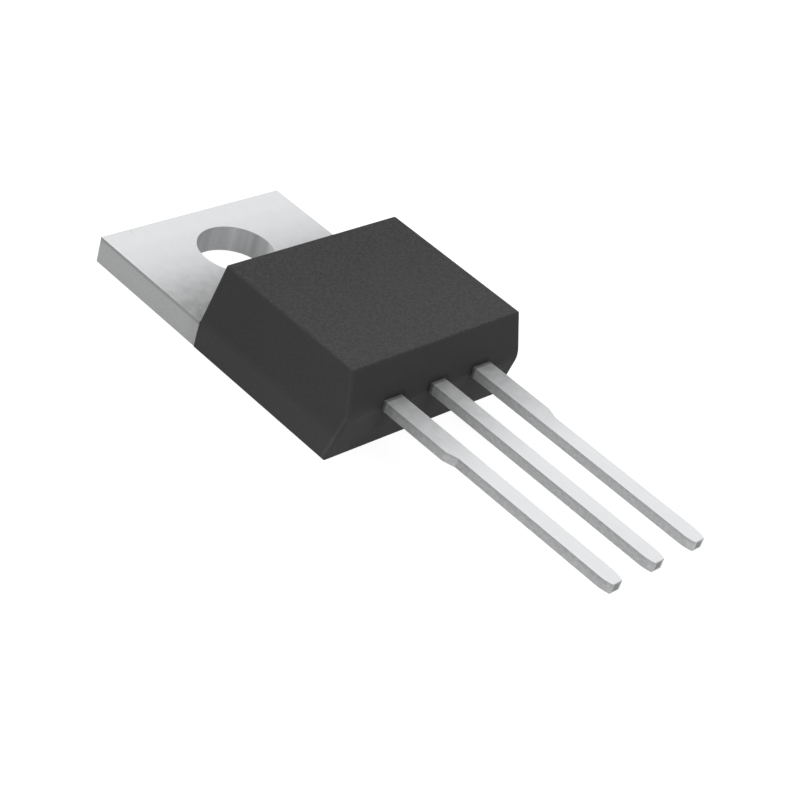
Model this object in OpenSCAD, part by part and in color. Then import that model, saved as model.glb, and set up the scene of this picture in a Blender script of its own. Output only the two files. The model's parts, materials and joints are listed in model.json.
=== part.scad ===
/* [Tab] */
// Width of the metal tab
tab_w = 10.30; // [8:0.01:14]
// Thickness of the tab and of the pad under the die
tab_t = 1.27; // [0.9:0.01:1.7]
// Length of tab that stands out behind the body
tab_len = 6.77; // [5.5:0.01:9]
// Diameter of the screw hole
hole_d = 3.57; // [2:0.01:4.4]
// Centre of the screw hole to the end of the tab
hole_to_end = 3.12; // [2.6:0.01:3.9]

/* [Body] */
// Width of the moulding at the mounting plane
body_w = 10.36; // [8.7:0.01:14]
// Length of the moulding from its parting line in front to its back
body_len = 8.94; // [7.2:0.01:12]
// Height of the moulding above the mounting plane
body_h = 4.41; // [3.6:0.01:6]
// Height of the parting line on the front
parting_h = 2.49; // [2:0.01:3]
// How far the front leans back above the parting line
front_lean_top = 0.60; // [0.2:0.01:0.9]
// How far the front leans back below the parting line
front_lean_foot = 0.57; // [0.2:0.01:0.9]
// How far the back leans in from the tab's top to the body's top
back_lean = 0.53; // [0.1:0.01:0.9]
// How far each side leans in from the mounting plane to the top
side_lean = 0.27; // [0.1:0.01:0.6]
// Radius of the moulding's edges round the top
top_edge_r = 0.10; // [0.05:0.01:0.3]
// Radius of the moulding's upright edges where the parting line crosses them
upright_edge_r = 0.10; // [0.05:0.01:0.4]
// Radius of the moulding's edges at its foot and beside the tab
foot_edge_r = 0.05; // [0.02:0.01:0.2]

/* [Leads] */
// Distance between the centres of neighbouring leads
lead_pitch = 2.54; // [2.1:0.01:3.2]
// Width of a lead
lead_w = 0.79; // [0.6:0.01:0.95]
// Thickness of a lead
lead_t = 0.48; // [0.35:0.01:0.6]
// Underside of the leads above the mounting plane
lead_rise = 2.23; // [1.85:0.01:2.7]
// Length of the leads in front of the body
lead_len = 12.26; // [6:0.01:16]
// Extra width on the outer side of each outer lead near the body
shoulder_w = 0.20; // [0.05:0.01:0.4]
// Length of the extra width
shoulder_len = 3.47; // [1:0.01:4.5]
// Length over which the extra width runs out
shoulder_runout = 0.56; // [0.1:0.01:1]
// Width of a lead's blunt end
tip_w = 0.55; // [0.2:0.01:0.59]
// Length over which a lead's sides curve in to its end
tip_len = 0.62; // [0.3:0.01:1.5]

/* [Inside the moulding] */
// Front of the body to the front end of the pad
pad_inset = 3.29; // [2.8:0.01:3.9]
// Moulding beside the pad on the mounting plane
pad_side_wall = 1.25; // [0.9:0.01:1.6]
// Width of the lip along each side of the pad that the moulding grips
lip_w = 0.35; // [0.1:0.01:0.5]
// Thickness of that lip
lip_t = 0.60; // [0.3:0.01:0.7]
// Inside radius of the bends in the centre lead
bend_r = 0.30; // [0.1:0.01:0.4]
// Angle at which the centre lead climbs from the pad
bend_angle = 50; // [40:1:60]
// Width of the groove across the header behind the die
groove_w = 0.35; // [0.2:0.01:0.5]
// Depth of that groove
groove_depth = 0.20; // [0.1:0.01:0.3]
// Moulding between that groove and the body's back
groove_inset = 0.50; // [0.3:0.01:0.7]
// Length of the outer leads' bond posts
post_len = 1.40; // [1:0.01:1.8]
// Front of the body to the bond posts
post_inset = 0.90; // [0.8:0.01:1.2]
// Moulding between a bond post and the side of the body
post_side_wall = 0.90; // [0.6:0.01:1.2]
// Clear space between the source post and the centre lead
source_post_gap = 0.60; // [0.4:0.01:0.8]
// Width of the gate lead's bond post
gate_post_w = 1.80; // [1.2:0.01:2]
// Width of the die
die_w = 4.60; // [3:0.01:5.6]
// Bare pad in front of the solder and behind it
pad_margin = 0.75; // [0.4:0.01:1]
// Thickness of the die
die_t = 0.28; // [0.1:0.01:0.35]
// Thickness of the solder under the die
solder_t = 0.05; // [0.02:0.01:0.1]
// Solder that shows round the die
solder_margin = 0.10; // [0.02:0.01:0.15]

/* [Bond wires] */
// Number of wires to the source post
source_wires = 3; // [1:1:3]
// Diameter of a source wire
source_wire_d = 0.38; // [0.2:0.01:0.46]
// Distance between neighbouring source wires
source_wire_pitch = 0.80; // [0.7:0.01:0.9]
// Right edge of the die to the middle one of the source wires' feet
source_bond_side = 1.40; // [1.3:0.01:2]
// Front edge of the die to the source wires' feet
source_bond_inset = 1.10; // [0.6:0.01:1.5]
// Diameter of the gate wire
gate_wire_d = 0.13; // [0.05:0.01:0.25]
// Left and front edges of the die to the gate wire's foot
gate_bond_inset = 0.55; // [0.3:0.01:0.8]
// Back edge of a bond post to the wires' feet
post_bond_inset = 0.55; // [0.45:0.01:0.8]
// Angle between a wire's ends and the straight line that joins them
wire_angle = 48; // [42:1:52]

/* [Hidden] */
$fn = 96;
// Segments of the rounding on the moulding's edges
edge_fn = 32;
// Steps in a curved stretch of an outline
arc_steps = 8;
// How far two parts of one piece run into each other
merge = 0.05;
// How far a cutting shape runs past what it cuts
overcut = 1;

// The origin is the centre of the screw hole on the mounting plane. +Y points to the end of the tab.
body_back = hole_to_end - tab_len;
body_front = body_back - body_len;
lead_end = body_front - lead_len;
lead_top = lead_rise + lead_t;

// The pad under the die, its lip and its groove
pad_front = body_front + pad_inset;
pad_w = body_w - 2 * pad_side_wall;
lip_front = pad_front - lip_w;
groove_y = body_back - groove_inset - groove_w / 2;

// The centre lead's climb from the pad to the plane of the leads
bend_mid_r = bend_r + lead_t / 2;
climb_straight = (lead_top - tab_t - 2 * bend_mid_r * (1 - cos(bend_angle))) / sin(bend_angle);
climb_run = 2 * bend_mid_r * sin(bend_angle) + climb_straight * cos(bend_angle);
climb_end = lip_front - climb_run;

// The curve of a lead's sides at its tip, which is tangent to the straight sides
tip_drop = (lead_w - tip_w) / 2;
tip_r = (pow(tip_len, 2) + pow(tip_drop, 2)) / (2 * tip_drop);

// The bond posts
post_front = body_front + post_inset;
post_back = post_front + post_len;
post_bond_y = post_back - post_bond_inset;
source_post_inner = lead_w / 2 + source_post_gap;
source_post_outer = half_width(lead_rise) - post_side_wall;
source_post_x = (source_post_inner + source_post_outer) / 2;
source_post_w = source_post_outer - source_post_inner;

// The die, which fills the pad from the front of its lip to its groove but for the bare margins
die_front = lip_front + pad_margin + solder_margin;
die_len = groove_y - groove_w / 2 - pad_margin - solder_margin - die_front;
die_seat = tab_t + solder_t;
die_top = die_seat + die_t;

// A wire's foot, pressed wide and flat, as shares of the wire's diameter
foot_length = 2.2;
foot_width = 1.5;
foot_height = 0.55;

// Half the moulding's width at height z
function half_width(z) = body_w / 2 - side_lean * z / body_h;

// The moulding's front at height z, which is furthest forward at the parting line
function front_y(z) = body_front + (z > parting_h
    ? front_lean_top * (z - parting_h) / (body_h - parting_h)
    : front_lean_foot * (parting_h - z) / parting_h);

// The moulding's back at height z, which is upright beside the tab
function back_y(z) = body_back - back_lean * max(0, z - tab_t) / (body_h - tab_t);

// Depth of a ball's centre behind a face that leans by `lean` over `height`, in radii
function slant(lean, height) = sqrt(1 + pow(lean / height, 2));

// Points along an arc
function arc(centre, r, from, to) = [
    for (i = [0:arc_steps])
        let (a = from + (to - from) * i / arc_steps)
            centre + r * [cos(a), sin(a)]
];

// The shape and its mirror image on the other side of the middle plane
module both_sides() {
    for (side = [0, 1])
        mirror([side, 0, 0])
            children();
}

// A ball that rounds an edge
module edge_ball(x, y, z, r) {
    translate([x, y, z])
        sphere(r = r, $fn = edge_fn);
}

// A thin disc on the mounting plane, which keeps the foot of an edge square
module foot_disc(x, y) {
    translate([x, y, 0])
        cylinder(r = foot_edge_r, h = foot_edge_r, $fn = edge_fn);
}

// The moulding with nothing inside it
module body_block() {
    side = slant(side_lean, body_h);
    top_z = body_h - top_edge_r;
    top_x = half_width(top_z) - side * top_edge_r;
    top_front = front_y(top_z) + slant(front_lean_top, body_h - parting_h) * top_edge_r;
    top_back = back_y(top_z) - slant(back_lean, body_h - tab_t) * top_edge_r;
    parting_x = half_width(parting_h) - side * upright_edge_r;
    parting_y = body_front + slant(front_lean_foot, parting_h) * upright_edge_r;
    back_x = half_width(tab_t) - side * foot_edge_r;
    foot_x = half_width(0) - foot_edge_r;
    hull() {
        both_sides() {
            edge_ball(top_x, top_front, top_z, top_edge_r);
            edge_ball(top_x, top_back, top_z, top_edge_r);
            edge_ball(parting_x, parting_y, parting_h, upright_edge_r);
            edge_ball(back_x, body_back - foot_edge_r, tab_t, foot_edge_r);
            foot_disc(foot_x, body_back - foot_edge_r);
            foot_disc(foot_x, front_y(0) + foot_edge_r);
        }
    }
}

// A lead seen from above, from its blunt end to inner_y
module lead_outline(inner_y) {
    side = concat(
        arc([lead_w / 2 - tip_r, lead_end + tip_len], tip_r, -asin(tip_len / tip_r), 0),
        [[lead_w / 2, inner_y]]
    );
    polygon(concat(side, [for (i = [len(side) - 1:-1:0]) [-side[i].x, side[i].y]]));
}

// The extra width on the +X side of a lead near the body, seen from above
module shoulder_outline() {
    outer = lead_w / 2 + shoulder_w;
    shoulder_end = body_front - shoulder_len;
    polygon([
        [0, post_front + merge],
        [0, shoulder_end - shoulder_runout],
        [lead_w / 2, shoulder_end - shoulder_runout],
        [outer, shoulder_end],
        [outer, post_front + merge]
    ]);
}

// An outer lead with its bond post, on the +X side
module outer_lead(post_x, post_w) {
    translate([0, 0, lead_rise])
        linear_extrude(lead_t)
            union() {
                translate([lead_pitch, 0])
                    lead_outline(post_front + merge);
                translate([lead_pitch, 0])
                    shoulder_outline();
                translate([post_x - post_w / 2, post_front])
                    square([post_w, post_len]);
            }
}

module gate_lead() {
    color("silver")
        mirror([1, 0, 0])
            outer_lead(lead_pitch, gate_post_w);
}

module source_lead() {
    color("silver")
        outer_lead(source_post_x, source_post_w);
}

// The centre lead's climb in side view, with world y along x and world z along y
module climb_outline() {
    low_centre = [lip_front, tab_t + bend_r];
    high_centre = [climb_end, lead_rise - bend_r];
    polygon(concat(
        [[lip_front + merge, tab_t]],
        arc(low_centre, bend_r, 270, 270 - bend_angle),
        arc(high_centre, bend_r + lead_t, 90 - bend_angle, 90),
        [[climb_end - merge, lead_top], [climb_end - merge, lead_rise]],
        arc(high_centre, bend_r, 90, 90 - bend_angle),
        arc(low_centre, bend_r + lead_t, 270 - bend_angle, 270),
        [[lip_front + merge, tab_t - lead_t]]
    ));
}

module centre_lead() {
    rotate([90, 0, 90])
        translate([0, 0, -lead_w / 2])
            linear_extrude(lead_w)
                climb_outline();
    translate([0, 0, lead_rise])
        linear_extrude(lead_t)
            lead_outline(climb_end);
}

// The pad under the die, with the lip that the moulding grips
module die_pad() {
    translate([-pad_w / 2, pad_front, 0])
        cube([pad_w, body_back - pad_front + merge, tab_t]);
    translate([-pad_w / 2 - lip_w, lip_front, tab_t - lip_t])
        cube([pad_w + 2 * lip_w, body_back - lip_front + merge, lip_t]);
}

// A V groove across the pad
module groove() {
    rotate([90, 0, 90])
        translate([groove_y, tab_t, -body_w / 2])
            linear_extrude(body_w)
                polygon([[-groove_w / 2, 0], [-groove_w / 2, overcut], [groove_w / 2, overcut],
                         [groove_w / 2, 0], [0, -groove_depth]]);
}

module header_drain_lead() {
    color("silver")
        difference() {
            union() {
                translate([-tab_w / 2, body_back, 0])
                    cube([tab_w, tab_len, tab_t]);
                die_pad();
                centre_lead();
            }
            groove();
            translate([0, 0, -overcut])
                cylinder(d = hole_d, h = tab_t + 2 * overcut);
        }
}

module die_attach_solder() {
    color("lightgray")
        translate([-die_w / 2 - solder_margin, die_front - solder_margin, tab_t])
            cube([die_w + 2 * solder_margin, die_len + 2 * solder_margin, solder_t]);
}

module silicon_die() {
    color("dimgray")
        translate([-die_w / 2, die_front, die_seat])
            cube([die_w, die_len, die_t]);
}

// A wire's foot, centred on the origin with its length along x
module wire_foot(d) {
    half = (foot_length - foot_width) * d / 2;
    linear_extrude(foot_height * d)
        union() {
            square([2 * half, foot_width * d], center = true);
            for (end = [-1, 1])
                translate([end * half, 0])
                    circle(d = foot_width * d);
        }
}

// A bond wire of diameter d, in one upright plane, from the point `from` on the die to `to` on a post
module bond_wire(from, to, d) {
    span = norm(to - from);
    rise = lead_top - die_top;
    chord = norm([span, rise]);
    slope = atan2(rise, span);
    arc_r = chord / 2 / sin(wire_angle);
    arc_x = span / 2 + arc_r * cos(wire_angle) * sin(slope);
    arc_z = rise / 2 - arc_r * cos(wire_angle) * cos(slope) + foot_height * d / 2;
    translate([from.x, from.y, die_top])
        rotate(atan2(to.y - from.y, to.x - from.x)) {
            difference() {
                translate([arc_x, 0, arc_z])
                    rotate([90, 0, 0])
                        rotate(90 + slope - wire_angle)
                            rotate_extrude(angle = 2 * wire_angle)
                                translate([arc_r, 0])
                                    circle(d = d);
                translate([-span / 2, -d, -span])
                    cube([span, 2 * d, span]);
                translate([span - foot_length * d, -d, rise - span])
                    cube([span, 2 * d, span]);
            }
            wire_foot(d);
            translate([span, 0, rise])
                wire_foot(d);
        }
}

module gate_bond_wire() {
    color("gainsboro")
        bond_wire(
            [gate_bond_inset - die_w / 2, die_front + gate_bond_inset],
            [-lead_pitch, post_bond_y],
            gate_wire_d
        );
}

module source_bond_wire(i) {
    across = (i - (source_wires + 1) / 2) * source_wire_pitch;
    color("gainsboro")
        bond_wire(
            [die_w / 2 - source_bond_side + across, die_front + source_bond_inset],
            [source_post_x + across, post_bond_y],
            source_wire_d
        );
}

// The moulding fills every space round the pieces inside it
module mold_body() {
    color("#303030")
        difference() {
            body_block();
            header_drain_lead();
            gate_lead();
            source_lead();
            die_attach_solder();
            silicon_die();
            gate_bond_wire();
            for (i = [1:source_wires])
                source_bond_wire(i);
        }
}

mold_body();
header_drain_lead();
gate_lead();
source_lead();
silicon_die();
die_attach_solder();
gate_bond_wire();
for (i = [1:source_wires])
    source_bond_wire(i);
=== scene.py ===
import json
import math

import bmesh
import bpy
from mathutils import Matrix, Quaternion, Vector


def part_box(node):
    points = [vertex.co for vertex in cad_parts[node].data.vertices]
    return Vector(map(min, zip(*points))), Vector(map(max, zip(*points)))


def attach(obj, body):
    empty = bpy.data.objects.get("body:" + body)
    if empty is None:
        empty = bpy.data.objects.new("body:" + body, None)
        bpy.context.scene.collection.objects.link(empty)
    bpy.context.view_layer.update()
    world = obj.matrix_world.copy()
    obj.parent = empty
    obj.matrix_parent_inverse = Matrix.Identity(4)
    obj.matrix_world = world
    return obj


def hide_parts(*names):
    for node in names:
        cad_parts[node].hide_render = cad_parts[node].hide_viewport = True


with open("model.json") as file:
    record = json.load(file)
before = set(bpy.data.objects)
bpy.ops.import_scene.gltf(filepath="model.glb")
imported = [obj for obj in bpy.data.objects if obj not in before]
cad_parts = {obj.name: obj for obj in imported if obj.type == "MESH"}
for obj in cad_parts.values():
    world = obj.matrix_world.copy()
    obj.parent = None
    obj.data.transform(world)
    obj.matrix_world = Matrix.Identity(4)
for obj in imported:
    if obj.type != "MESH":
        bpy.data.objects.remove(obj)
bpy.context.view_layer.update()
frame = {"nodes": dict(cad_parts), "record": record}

MM = 0.001
BODY = "root"
WIRES = [node for node in sorted(frame["nodes"]) if "bond_wire" in node]

MOUNTS = {mount["name"]: Vector(mount["pos_m"]) for mount in frame["record"]["mounts"]}
PITCH = MOUNTS["source_lead_tip"].x
LEAD_END = MOUNTS["source_lead_tip"].y

body_low, body_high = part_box("mold_body")
lead_low, lead_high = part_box("gate_lead")
die_low, die_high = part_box("silicon_die")

# The mould's halves part level with the middle of the leads
PARTING = (lead_low.z + lead_high.z) / 2

# Points closer together than this are one point
WELD = 0.0004 * MM
# What lies this close to a level counts as lying on it
SLACK = 0.01 * MM
# Faces that turn by more than this many degrees meet at an edge that can be rounded
EDGE_TURN = 28

LAMP_DISTANCE = 0.4
LAMP_SIZE = 0.30


# ---------------------------------------------------------------- node trees

class Shading:
    """The node tree of a material or a world, with the sums that its patterns are made of."""

    def __init__(self, owner):
        owner.use_nodes = True
        self.nodes = owner.node_tree.nodes
        self.links = owner.node_tree.links

    def set(self, socket, value):
        """Feeds an input with a number or with another node's output."""
        if isinstance(value, bpy.types.NodeSocket):
            self.links.new(value, socket)
        else:
            socket.default_value = value

    def math(self, operation, *values):
        node = self.nodes.new("ShaderNodeMath")
        node.operation = operation
        for socket, value in zip(node.inputs, values):
            self.set(socket, value)
        return node.outputs[0]

    def plus(self, first, *others):
        for other in others:
            first = self.math("ADD", first, other)
        return first

    def minus(self, first, second):
        return self.math("SUBTRACT", first, second)

    def times(self, first, *others):
        for other in others:
            first = self.math("MULTIPLY", first, other)
        return first

    def unsigned(self, value):
        return self.math("ABSOLUTE", value)

    def apart(self, first, second):
        """How far two numbers are apart."""
        return self.unsigned(self.minus(first, second))

    def across(self, first, second):
        """The length of a straight line that spans those two distances at right angles."""
        return self.math("SQRT", self.plus(self.times(first, first), self.times(second, second)))

    def fade(self, value, start, end, low=0.0, high=1.0):
        """Runs smoothly from low, where value is start, to high, where it is end."""
        node = self.nodes.new("ShaderNodeMapRange")
        node.interpolation_type = "SMOOTHSTEP"
        for socket, number in zip(node.inputs, (value, start, end, low, high)):
            self.set(socket, number)
        return node.outputs[0]

    def mix(self, share, first, second):
        """A number that runs from first to second as share runs from 0 to 1."""
        node = self.nodes.new("ShaderNodeMix")
        node.data_type = "FLOAT"
        for number, value in ((0, share), (2, first), (3, second)):
            self.set(node.inputs[number], value)
        return node.outputs[0]


class Finish(Shading):
    """A procedural finish: one Principled shader and its patterns, on Object coordinates."""

    def __init__(self, name, **constants):
        self.material = bpy.data.materials.new(name)
        super().__init__(self.material)
        self.shader = self.nodes["Principled BSDF"]
        coordinates = self.nodes.new("ShaderNodeTexCoord")
        self.place = coordinates.outputs["Object"]
        self.x, self.y, self.z = self.parts(self.place)
        self.facing_x, self.facing_y, self.facing_z = self.parts(coordinates.outputs["Normal"])
        for socket, value in constants.items():
            self.shader.inputs[socket.replace("_", " ")].default_value = value

    def parts(self, vector):
        """A vector's share along each axis."""
        node = self.nodes.new("ShaderNodeSeparateXYZ")
        self.links.new(vector, node.inputs[0])
        return node.outputs

    def feed(self, name, value):
        self.set(self.shader.inputs[name], value)

    def ahead(self):
        """1 on the faces that look the way the leads point, and 0 on the others."""
        return self.fade(self.facing_y, -0.6, -0.9)

    def aside(self):
        """1 on the faces that look to either side, and 0 on the others."""
        return self.fade(self.unsigned(self.facing_x), 0.6, 0.9)

    def upward(self):
        """1 on the faces that look up, and 0 on the others."""
        return self.fade(self.facing_z, 0.5, 0.9)

    def vary(self, pattern, spread):
        """A pattern's own middle range as an even swing of that much to either side of 0."""
        return self.fade(pattern, 0.3, 0.7, -spread, spread)

    def scaled(self, size, stretch, seed):
        """Coordinates in which that many millimetres measure 1, drawn out along the axes."""
        mapping = self.nodes.new("ShaderNodeMapping")
        mapping.inputs["Location"].default_value = (seed, seed, seed)
        mapping.inputs["Scale"].default_value = [1 / (size * MM * s) for s in stretch]
        self.links.new(self.place, mapping.inputs["Vector"])
        return mapping.outputs[0]

    def noise(self, size, detail=2.0, roughness=0.5, stretch=(1, 1, 1), seed=0.0):
        """Cloudy noise with features of that size in millimetres."""
        node = self.nodes.new("ShaderNodeTexNoise")
        node.inputs["Scale"].default_value = 1.0
        node.inputs["Detail"].default_value = detail
        node.inputs["Roughness"].default_value = roughness
        self.links.new(self.scaled(size, stretch, seed), node.inputs["Vector"])
        return node.outputs["Fac"]

    def grains(self, size, seed=0.0):
        """Distance to the nearest of many scattered points, that many millimetres apart."""
        node = self.nodes.new("ShaderNodeTexVoronoi")
        node.inputs["Scale"].default_value = 1.0
        self.links.new(self.scaled(size, (1, 1, 1), seed), node.inputs["Vector"])
        return node.outputs["Distance"]

    def grey(self, level, warmth):
        """A nearly neutral colour of that level, a little warmer or cooler."""
        node = self.nodes.new("ShaderNodeCombineColor")
        for socket, share in zip(node.inputs, (1 + warmth, 1, 1 - warmth)):
            self.set(socket, self.times(level, share) if share != 1 else level)
        return node.outputs[0]

    def relief(self, height, depth):
        """Raises the surface by height times depth, in millimetres."""
        node = self.nodes.new("ShaderNodeBump")
        node.inputs["Strength"].default_value = 1.0
        node.inputs["Distance"].default_value = depth * MM
        self.links.new(height, node.inputs["Height"])
        self.links.new(node.outputs[0], self.shader.inputs["Normal"])


# ---------------------------------------------------------------- the moulding's finish

def matt_black_epoxy():
    """Near-black compound from a spark-eroded mould, with a fine grain that shows most on top, and
    painted light and shade.
    """
    finish = Finish("matt_black_epoxy", Specular_IOR_Level=0.12, IOR=1.5)
    grain = finish.noise(0.12, detail=3, roughness=0.6)
    pits = finish.grains(0.16, seed=3.0)
    filler = finish.noise(0.10, detail=2, seed=7.0)
    flow = finish.noise(2.4, detail=2, seed=11.0)
    on_top = finish.upward()
    black = 0.0565
    level = finish.plus(
        black,
        finish.times(finish.vary(grain, 0.013), finish.mix(on_top, 0.3, 1.0)),
        # painted shade: the top is darker, most towards the back
        finish.times(on_top, finish.fade(finish.y, body_low.y, body_high.y, -0.0025, -0.0065)),
        finish.vary(flow, 0.001),
        finish.fade(filler, 0.66, 0.78, 0.0, 0.006),
        # painted light and shade: the whole moulding lighter in front and darker behind
        finish.fade(finish.y, body_low.y, body_high.y, 0.005, -0.004),
        # painted light low on the sides and front
        painted_light_low_down(finish),
        # painted highlights on the upright corners and beside them
        painted_corner_highlights(finish),
        # painted shade round each lead's exit
        painted_shade_round_leads(finish),
    )
    finish.feed("Base Color", finish.grey(level, 0.004))
    finish.feed("Roughness", finish.plus(0.68, finish.vary(grain, 0.05), finish.vary(flow, 0.03)))
    finish.relief(finish.plus(grain, finish.times(pits, 0.5)), 0.010)
    return finish.material


def painted_light_low_down(finish):
    """Painted light: paler sides below the tab's level, and a paler foot and gate-side corner in
    front.
    """
    sides = finish.times(finish.fade(finish.z, 1.7 * MM, 0.95 * MM), finish.aside(), 0.013)
    foot_level = 0.4 * MM
    to_foot = finish.fade(finish.z, PARTING, foot_level, 0.0, 0.012)
    by_parting = finish.times(
        finish.fade(finish.z, PARTING + 0.6 * MM, PARTING - 0.1 * MM),
        finish.fade(finish.z, foot_level, PARTING, 0.0, 0.014),
        finish.fade(finish.x, -2.9 * MM, -4.3 * MM),
    )
    return finish.plus(sides, finish.times(finish.ahead(), finish.plus(to_foot, by_parting)))


def painted_corner_highlights(finish):
    """Painted highlights: the upright corners, and a line beside those in front, are paler, most
    below the parting.
    """
    below = finish.fade(finish.z, PARTING + 0.2 * MM, PARTING - 0.2 * MM)
    corner = finish.times(
        finish.fade(finish.unsigned(finish.facing_x), 0.30, 0.55),
        finish.fade(finish.unsigned(finish.facing_y), 0.30, 0.55),
    )
    rise = finish.minus(finish.z, PARTING)
    upper_lean, lower_lean = 0.31, 0.23
    front = finish.math(
        "MAXIMUM", finish.times(rise, upper_lean), finish.times(rise, -lower_lean))
    behind = finish.minus(finish.minus(finish.y, body_low.y), front)
    line = finish.fade(finish.apart(behind, 0.17 * MM), 0.02 * MM, 0.13 * MM, 1.0, 0.0)
    return finish.plus(
        finish.times(corner, finish.mix(below, 0.002, 0.024)),
        finish.times(line, finish.aside(), finish.mix(below, 0.007, 0.018)),
    )


def painted_shade_round_leads(finish):
    """Painted shade: the compound is darker close round each lead, where it leaves the moulding."""
    beyond_outer = finish.minus(finish.unsigned(finish.x), PITCH)
    from_middle = finish.math(
        "MAXIMUM", finish.math("PINGPONG", finish.x, PITCH / 2), beyond_outer)
    half_width, half_height = 0.45 * MM, (lead_high.z - lead_low.z) / 2
    beside = finish.math("MAXIMUM", finish.minus(from_middle, half_width), 0.0)
    from_parting = finish.apart(finish.z, PARTING)
    above = finish.math("MAXIMUM", finish.minus(from_parting, half_height), 0.0)
    away = finish.across(beside, above)
    close = finish.fade(away, 0.05 * MM, 0.30 * MM, -0.022, 0.0)
    wide = finish.fade(away, 0.1 * MM, 1.3 * MM, -0.004, 0.0)
    return finish.times(finish.plus(close, wide), finish.ahead())


# ---------------------------------------------------------------- the stamped strip's finish

def plated_copper():
    """Copper strip with a pale matt tin plating, duller where the strip was sheared, with painted
    shade on the sheared sides and near the moulding.
    """
    finish = Finish("matt_tin_plated_copper")
    micron = finish.noise(0.07, detail=3, roughness=0.6)
    mottle = finish.noise(0.7, detail=3, seed=5.0)
    rolling = finish.noise(0.12, detail=2, stretch=(1, 14, 1), seed=9.0)
    on_tab = finish.fade(finish.y, body_high.y - 0.3 * MM, body_high.y)
    sheared = finish.fade(finish.unsigned(finish.facing_z), 0.65, 0.25)

    flat = finish.plus(
        finish.mix(on_tab, 0.85, 0.855),
        finish.vary(mottle, 0.008),
        finish.vary(rolling, 0.005),
        finish.vary(micron, 0.010),
        finish.times(on_tab, tab_specks(finish)),
    )
    # the sheared sides are darker than the flats, partly for their rougher finish and partly as
    # painted shade
    edge = finish.mix(on_tab, lead_edge(finish), tab_edge(finish))
    # painted shade and painted dark reflection of the moulding on the strip near it
    level = finish.times(finish.mix(sheared, flat, edge), painted_shade_by_moulding(finish, on_tab, sheared))
    finish.feed("Base Color", finish.grey(level, -0.010))
    finish.feed("Metallic", finish.mix(on_tab, 0.45, 0.30))
    satin = finish.plus(finish.mix(on_tab, 0.55, 0.90), finish.vary(mottle, 0.03))
    finish.feed("Roughness", finish.mix(sheared, satin, 0.75))
    finish.relief(finish.plus(micron, finish.times(rolling, 0.3)), 0.0010)
    return finish.material


def painted_shade_by_moulding(finish, on_tab, sheared):
    """The share of its level that the plating keeps under painted shade and a painted dark
    reflection of the moulding, strongest next to it and laid on in patches.
    """
    past_body = finish.minus(finish.y, body_high.y)
    before_body = finish.minus(body_low.y, finish.y)
    tab_lit_share = finish.plus(
        finish.fade(past_body, 0.0, 5.1 * MM, 0.49, 1.0),
        finish.fade(finish.apart(past_body, 4.6 * MM), 0.4 * MM, 1.3 * MM, -0.04, 0.0),
    )
    lead_lit_share = finish.fade(before_body, 0.0, 6.0 * MM, 0.60, 1.0)
    tab_edge_lit_share = finish.fade(past_body, 0.0, 1.0 * MM, 0.90, 1.0)
    lead_edge_lit_share = finish.fade(before_body, 0.0, 4.0 * MM, 0.64, 1.0)
    lit_share = finish.mix(
        sheared,
        finish.mix(on_tab, lead_lit_share, tab_lit_share),
        finish.mix(on_tab, lead_edge_lit_share, tab_edge_lit_share),
    )
    patches = finish.vary(finish.noise(0.45, detail=3, seed=29.0), 0.12)
    patchy_shade = finish.times(finish.minus(1.0, lit_share), patches)
    # painted contact shade where the strip enters the moulding
    root_shade_on_leads = finish.times(
        finish.fade(before_body, 0.02 * MM, 0.12 * MM, 0.45, 1.0),
        finish.fade(before_body, 0.1 * MM, 0.7 * MM, 0.90, 1.0),
    )
    root_shade_on_tab = finish.fade(past_body, 0.02 * MM, 0.12 * MM, 0.75, 1.0)
    root_shade = finish.mix(on_tab, root_shade_on_leads, finish.mix(sheared, root_shade_on_tab, 1.0))
    return finish.times(finish.plus(lit_share, patchy_shade), root_shade)


def tab_specks(finish):
    """A few faint spots on the tab's plating, darker than the rest of it."""
    points = finish.grains(1.7, seed=21.0)
    return finish.fade(points, 0.04, 0.07, -0.05, 0.0)


def lead_edge(finish):
    """Level of a lead's sheared sides, and of the bare core in its blunt end."""
    speckle = finish.noise(0.08, detail=3, roughness=0.7, stretch=(1, 2.5, 1), seed=13.0)
    outermost = finish.fade(finish.unsigned(finish.x), PITCH, PITCH + 0.3 * MM)
    from_neck = finish.apart(finish.y, body_low.y - 4.35 * MM)
    # painted shade on the outer leads' sides just past the shoulder
    shade_past_shoulder = finish.fade(from_neck, 0.1 * MM, 0.4 * MM, -0.07, 0.0)
    # painted shade: a darker band along the top of the lead's sheared sides
    shade_under_top_edge = finish.fade(
        finish.z, lead_high.z - 0.05 * MM, lead_high.z - 0.2 * MM, -0.07, 0.0)
    # painted light: side faces turned towards the tip are lighter
    painted_light_towards_tip = finish.fade(finish.facing_y, -0.10, -0.32, 0.0, 0.06)
    side = finish.plus(
        0.615,
        finish.vary(speckle, 0.07),
        # painted shade and light: the sides darker on the gate lead and lighter towards the source
        # lead
        finish.fade(finish.x, -1.2 * PITCH, 0.8 * PITCH, -0.035, 0.038),
        finish.times(outermost, shade_past_shoulder),
        shade_under_top_edge,
        painted_light_towards_tip,
    )
    from_end = finish.minus(finish.y, LEAD_END)
    blunt = finish.times(
        finish.fade(finish.unsigned(finish.facing_y), 0.85, 0.97),
        finish.fade(from_end, 0.10 * MM, 0.05 * MM),
    )
    from_middle = finish.math("PINGPONG", finish.x, PITCH / 2)
    from_parting = finish.apart(finish.z, PARTING)
    core = finish.times(
        finish.fade(from_middle, 0.19 * MM, 0.13 * MM),
        finish.fade(from_parting, 0.19 * MM, 0.13 * MM),
    )
    bare_copper = 0.36
    return finish.mix(finish.times(blunt, core), side, bare_copper)


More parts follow.
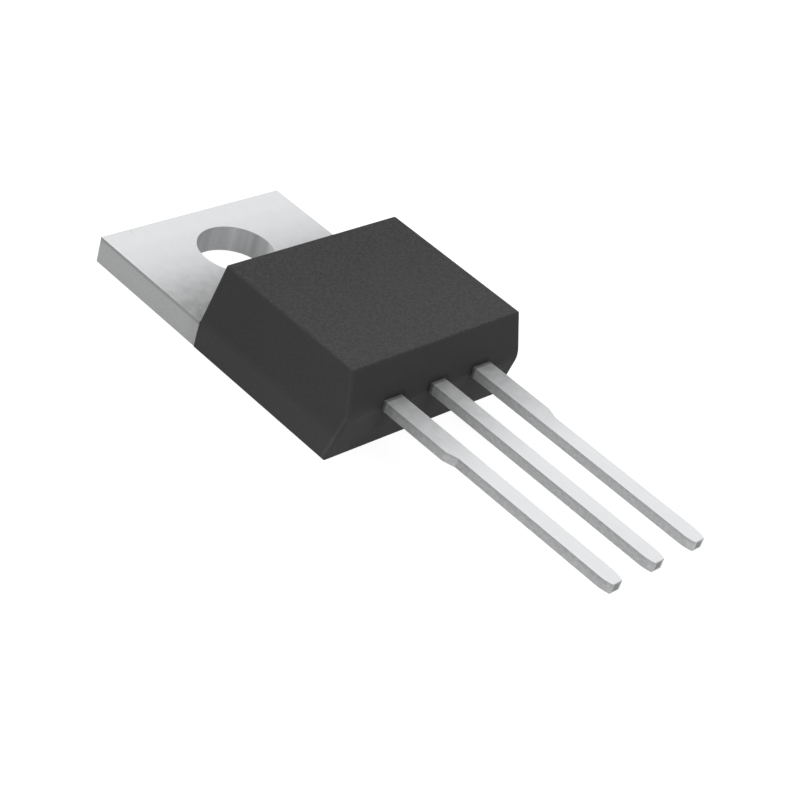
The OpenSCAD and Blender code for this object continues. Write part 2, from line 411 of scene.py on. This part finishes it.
def tab_edge(finish):
    """Level of the tab's sheared sides and of its hole's wall, which the punch has streaked."""
    speckle = finish.noise(0.09, detail=3, roughness=0.7, seed=17.0)
    bands = finish.noise(1.1, detail=1, stretch=(1, 1, 20), seed=19.0)
    streaks = finish.noise(0.25, detail=2, roughness=0.5, stretch=(1, 1, 20), seed=23.0)
    in_hole = finish.fade(finish.across(finish.x, finish.y), 2.3 * MM, 2.1 * MM)
    # painted shade: a darker band along the top of the tab's sheared sides
    shade_under_top_edge = finish.fade(finish.z, 1.08 * MM, 1.16 * MM, 0.0, -0.13)
    side = finish.plus(0.525, finish.vary(speckle, 0.03), shade_under_top_edge)
    # a darker stripe and a lighter stripe down the hole's wall, at given places
    darker_stripe = finish.fade(
        finish.apart(finish.x, -0.25 * MM), 0.1 * MM, 0.5 * MM, -0.07, 0.0)
    bright_stripe = finish.fade(
        finish.apart(finish.x, 1.5 * MM), 0.05 * MM, 0.25 * MM, 0.08, 0.0)
    wall = finish.plus(
        0.58,
        finish.vary(bands, 0.09),
        finish.vary(streaks, 0.03),
        finish.vary(speckle, 0.02),
        darker_stripe,
        bright_stripe,
    )
    return finish.mix(in_hole, side, wall)


# ---------------------------------------------------------------- finishes inside the moulding

def bare_silicon():
    """Sawn silicon, with a gate pad, a source pad and the dark ring round them on its top."""
    finish = Finish("silicon_with_aluminium_pads", Metallic=1.0)
    grain = finish.noise(0.03, detail=2)
    from_left = finish.minus(finish.x, die_low.x)
    from_front = finish.minus(finish.y, die_low.y)
    from_side = finish.math("MINIMUM", from_left, finish.minus(die_high.x, finish.x))
    from_end = finish.math("MINIMUM", from_front, finish.minus(die_high.y, finish.y))
    within_ring = finish.fade(
        finish.math("MINIMUM", from_side, from_end), 0.14 * MM, 0.15 * MM)
    from_gate_pad = finish.apart(finish.math("MAXIMUM", from_left, from_front), 1.05 * MM)
    off_gate_ring = finish.fade(from_gate_pad, 0.04 * MM, 0.05 * MM)
    pads = finish.times(within_ring, off_gate_ring, finish.upward())
    aluminium = finish.plus(0.78, finish.vary(grain, 0.04))
    finish.feed("Base Color", finish.grey(finish.mix(pads, 0.22, aluminium), -0.02))
    finish.feed("Roughness", finish.mix(pads, 0.25, 0.45))
    finish.relief(grain, 0.0006)
    return finish.material


def dull_solder():
    """Soft solder under the die, frosted as it froze."""
    finish = Finish("frosted_solder", Metallic=1.0)
    frost = finish.grains(0.12, seed=2.0)
    finish.feed("Base Color", finish.grey(finish.fade(frost, 0.0, 0.7, 0.5, 0.6), 0.01))
    finish.feed("Roughness", finish.fade(frost, 0.0, 0.7, 0.4, 0.6))
    finish.relief(frost, 0.003)
    return finish.material


def drawn_aluminium():
    """Bond wire, with the fine lines of the die it was drawn through."""
    finish = Finish("drawn_aluminium_wire", Metallic=1.0)
    lines = finish.noise(0.03, detail=2, stretch=(1, 20, 1))
    finish.feed("Base Color", finish.grey(finish.plus(0.80, finish.vary(lines, 0.04)), -0.005))
    finish.feed("Roughness", finish.plus(0.34, finish.vary(lines, 0.06)))
    finish.relief(lines, 0.0006)
    return finish.material


# ---------------------------------------------------------------- pieces

def lead_exit_edge(edge):
    """Full rounding for the edges of the holes in the moulding's front, where the leads leave."""
    middle = (edge.verts[0].co + edge.verts[1].co) / 2
    looks_ahead = min(face.normal.y for face in edge.link_faces) < -0.9
    in_front = middle.y < body_low.y + 0.3 * MM
    beside_lead = lead_low.z - SLACK < middle.z < lead_high.z + SLACK
    return float(looks_ahead and in_front and beside_lead)


def outside_moulding(edge):
    """Full rounding for an edge of which any part is clear of the moulding."""
    low, high = body_low.y - SLACK, body_high.y + SLACK
    return float(any(not low < vertex.co.y < high for vertex in edge.verts))


def front_skin(work):
    """The moulding's front faces, with those that turn the corners to its sides."""
    skin_depth = 0.45 * MM
    return [
        face for face in work.faces
        if face.normal.y < -0.05 and abs(face.normal.z) < 0.5
        and face.calc_center_median().y < body_low.y + skin_depth
    ]


def ease_parting(work):
    """Rounds the crease across the moulding's front, at the parting, by drawing the skin back."""
    reach, steps = 0.32 * MM, 2
    crease = min(work.verts, key=lambda vertex: vertex.co.y).co.z
    leans = [
        -face.normal.z / face.normal.y for face in front_skin(work) if face.normal.y < -0.9
    ]
    turn = max(leans) - min(leans)
    rows = [crease + reach * step / steps for step in range(-steps, steps + 1)]
    for height in rows + [lead_low.z, lead_high.z]:
        skin = front_skin(work)
        edges = list({edge for face in skin for edge in face.edges})
        corners = list({vertex for face in skin for vertex in face.verts})
        bmesh.ops.bisect_plane(work, geom=corners + edges + skin, dist=WELD,
                               plane_co=(0, 0, height), plane_no=(0, 0, 1))
    for vertex in {vertex for face in front_skin(work) for vertex in face.verts}:
        near = max(0.0, reach - abs(vertex.co.z - crease))
        vertex.co.y += turn * near ** 2 / (4 * reach)


def copy_of(node, name, rounded, eased=None):
    """The node's shape as one closed skin of whole faces, with the edges to round weighted."""
    mesh = bpy.data.meshes.new(name)
    work = bmesh.new()
    work.from_mesh(frame["nodes"][node].data)
    bmesh.ops.remove_doubles(work, verts=work.verts, dist=WELD)
    bmesh.ops.dissolve_limit(
        work, angle_limit=math.radians(0.5), verts=work.verts, edges=work.edges)
    if eased:
        eased(work)
        work.normal_update()
    weight = work.edges.layers.float.new("bevel_weight_edge")
    for edge in work.edges:
        if len(edge.link_faces) == 2 and edge.calc_face_angle() > math.radians(EDGE_TURN):
            edge[weight] = rounded(edge)
    work.to_mesh(mesh)
    work.free()
    piece = bpy.data.objects.new(name, mesh)
    bpy.context.scene.collection.objects.link(piece)
    return piece


def apply_modifiers(piece):
    evaluated = piece.evaluated_get(bpy.context.evaluated_depsgraph_get())
    mesh = bpy.data.meshes.new_from_object(evaluated)
    piece.modifiers.clear()
    piece.data = mesh


def round_edges(piece, width, segments, crease):
    """Rounds the weighted edges by width millimetres, and shades smooth turns below crease."""
    bevel = piece.modifiers.new("rounded_edges", "BEVEL")
    bevel.limit_method = "WEIGHT"
    bevel.width = width * MM
    bevel.segments = segments
    apply_modifiers(piece)
    piece.data.shade_smooth()
    work = bmesh.new()
    work.from_mesh(piece.data)
    for edge in work.edges:
        edge.smooth = edge.calc_face_angle(0.0) < math.radians(crease)
    work.to_mesh(piece.data)
    work.free()
    flats = piece.modifiers.new("flat_faces", "WEIGHTED_NORMAL")
    flats.keep_sharp = True
    apply_modifiers(piece)


def give(data, material):
    """Makes material the only one of a mesh."""
    data.materials.clear()
    data.materials.append(material)


def fit(piece, node, material):
    """Puts the finished piece in its node's place."""
    give(piece.data, material)
    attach(piece, BODY)
    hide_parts(node)


def moulding(material):
    """The moulding, with a narrow groove round each lead where the compound draws back."""
    piece = copy_of("mold_body", "moulding", lead_exit_edge, ease_parting)
    round_edges(piece, width=0.05, segments=3, crease=30)
    fit(piece, "mold_body", material)


def stamping(node, name, material):
    """A piece of the stamped strip, with the edges that show just broken."""
    piece = copy_of(node, name, outside_moulding)
    round_edges(piece, width=0.015, segments=2, crease=15)
    fit(piece, node, material)


def inner_piece(node, material):
    """A piece inside the moulding keeps its own mesh and takes its finish."""
    give(frame["nodes"][node].data, material)


# ---------------------------------------------------------------- studio

def seen_or_cast(shading, seen, cast):
    """Strength `seen` for the camera, metal and glass, and `cast` for light on other things."""
    path = shading.nodes.new("ShaderNodeLightPath")
    mirrored = shading.math(
        "MAXIMUM", path.outputs["Is Glossy Ray"], path.outputs["Is Transmission Ray"])
    looked_at = shading.math("MAXIMUM", path.outputs["Is Camera Ray"], mirrored)
    not_scattered = shading.math("LESS_THAN", path.outputs["Diffuse Depth"], 0.5)
    return shading.mix(shading.times(looked_at, not_scattered), cast, seen)


def white_surroundings(cast):
    """White wherever it is seen, and a weak even light on everything else."""
    world = bpy.data.worlds.new("white_surroundings")
    bpy.context.scene.world = world
    shading = Shading(world)
    background = shading.nodes["Background"]
    background.inputs["Color"].default_value = (1, 1, 1, 1)
    shading.set(background.inputs["Strength"], seen_or_cast(shading, 1.0, cast))


def white_table(seen):
    """A matt table top that reads as white, shows the part's shadow and has no far edge."""
    finish = Finish("white_table", Roughness=0.9, Specular_IOR_Level=0.0,
                    Base_Color=(0.3, 0.3, 0.3, 1), Emission_Color=(1, 1, 1, 1))
    from_part = finish.nodes.new("ShaderNodeVectorMath")
    from_part.operation = "LENGTH"
    finish.links.new(finish.place, from_part.inputs[0])
    level = finish.fade(from_part.outputs["Value"], 60 * MM, 350 * MM, seen, 1.0)
    finish.feed("Emission Strength", seen_or_cast(finish, level, 0.0))
    half, under = 1.5, -0.01 * MM
    corners = [(x * half, y * half, under) for x, y in ((-1, -1), (1, -1), (1, 1), (-1, 1))]
    mesh = bpy.data.meshes.new("table")
    mesh.from_pydata(corners, [], [(0, 1, 2, 3)])
    give(mesh, finish.material)
    table = bpy.data.objects.new("table", mesh)
    bpy.context.scene.collection.objects.link(table)


def softbox(name, towards, level):
    """A square light in the direction towards, which gives a facing white card that level."""
    lamp = bpy.data.lights.new(name, "AREA")
    lamp.shape = "SQUARE"
    lamp.size = LAMP_SIZE
    lamp.energy = level * math.pi ** 2 * LAMP_DISTANCE ** 2
    light = bpy.data.objects.new(name, lamp)
    bpy.context.scene.collection.objects.link(light)
    direction = Vector(towards).normalized()
    middle = Vector((0, (body_low.y + body_high.y) / 2, 0))
    light.location = middle + direction * LAMP_DISTANCE
    light.rotation_mode = "QUATERNION"
    light.rotation_quaternion = direction.to_track_quat("Z", "Y")
    light.visible_glossy = False


def camera():
    """A long lens, high up beyond the gate lead's tip, turned a little on its axis."""
    data = bpy.data.cameras.new("camera")
    data.lens = 93.0
    data.sensor_width = 36.0
    data.clip_start = 0.002
    data.clip_end = 10.0
    view = bpy.data.objects.new("camera", data)
    bpy.context.scene.collection.objects.link(view)
    view.location = (-57.54 * MM, -52.71 * MM, 49.58 * MM)
    aim = Vector((0.697 * MM, -10.464 * MM, 0.0))
    roll = Quaternion((0, 0, 1), math.radians(17.34))
    view.rotation_mode = "QUATERNION"
    level = (aim - view.location).to_track_quat("-Z", "Y")
    view.rotation_quaternion = level @ roll
    bpy.context.scene.camera = view


plate = plated_copper()
moulding(matt_black_epoxy())
stamping("header_drain_lead", "tab_and_drain_lead", plate)
stamping("gate_lead", "gate_lead_stamping", plate)
stamping("source_lead", "source_lead_stamping", plate)
inner_piece("silicon_die", bare_silicon())
inner_piece("die_attach_solder", dull_solder())
wire = drawn_aluminium()
for node in WIRES:
    inner_piece(node, wire)

white_surroundings(cast=0.10)
white_table(seen=0.90)
softbox("back_high_softbox", (0.0, 0.60, 0.80), level=0.28)
softbox("back_low_softbox", (0.0, 0.93, 0.36), level=0.85)
softbox("front_softbox", (0.0, -0.60, 0.80), level=0.40)
softbox("left_softbox", (-0.90, 0.0, 0.43), level=0.31)
camera()
bpy.context.scene.view_settings.view_transform = "Standard"
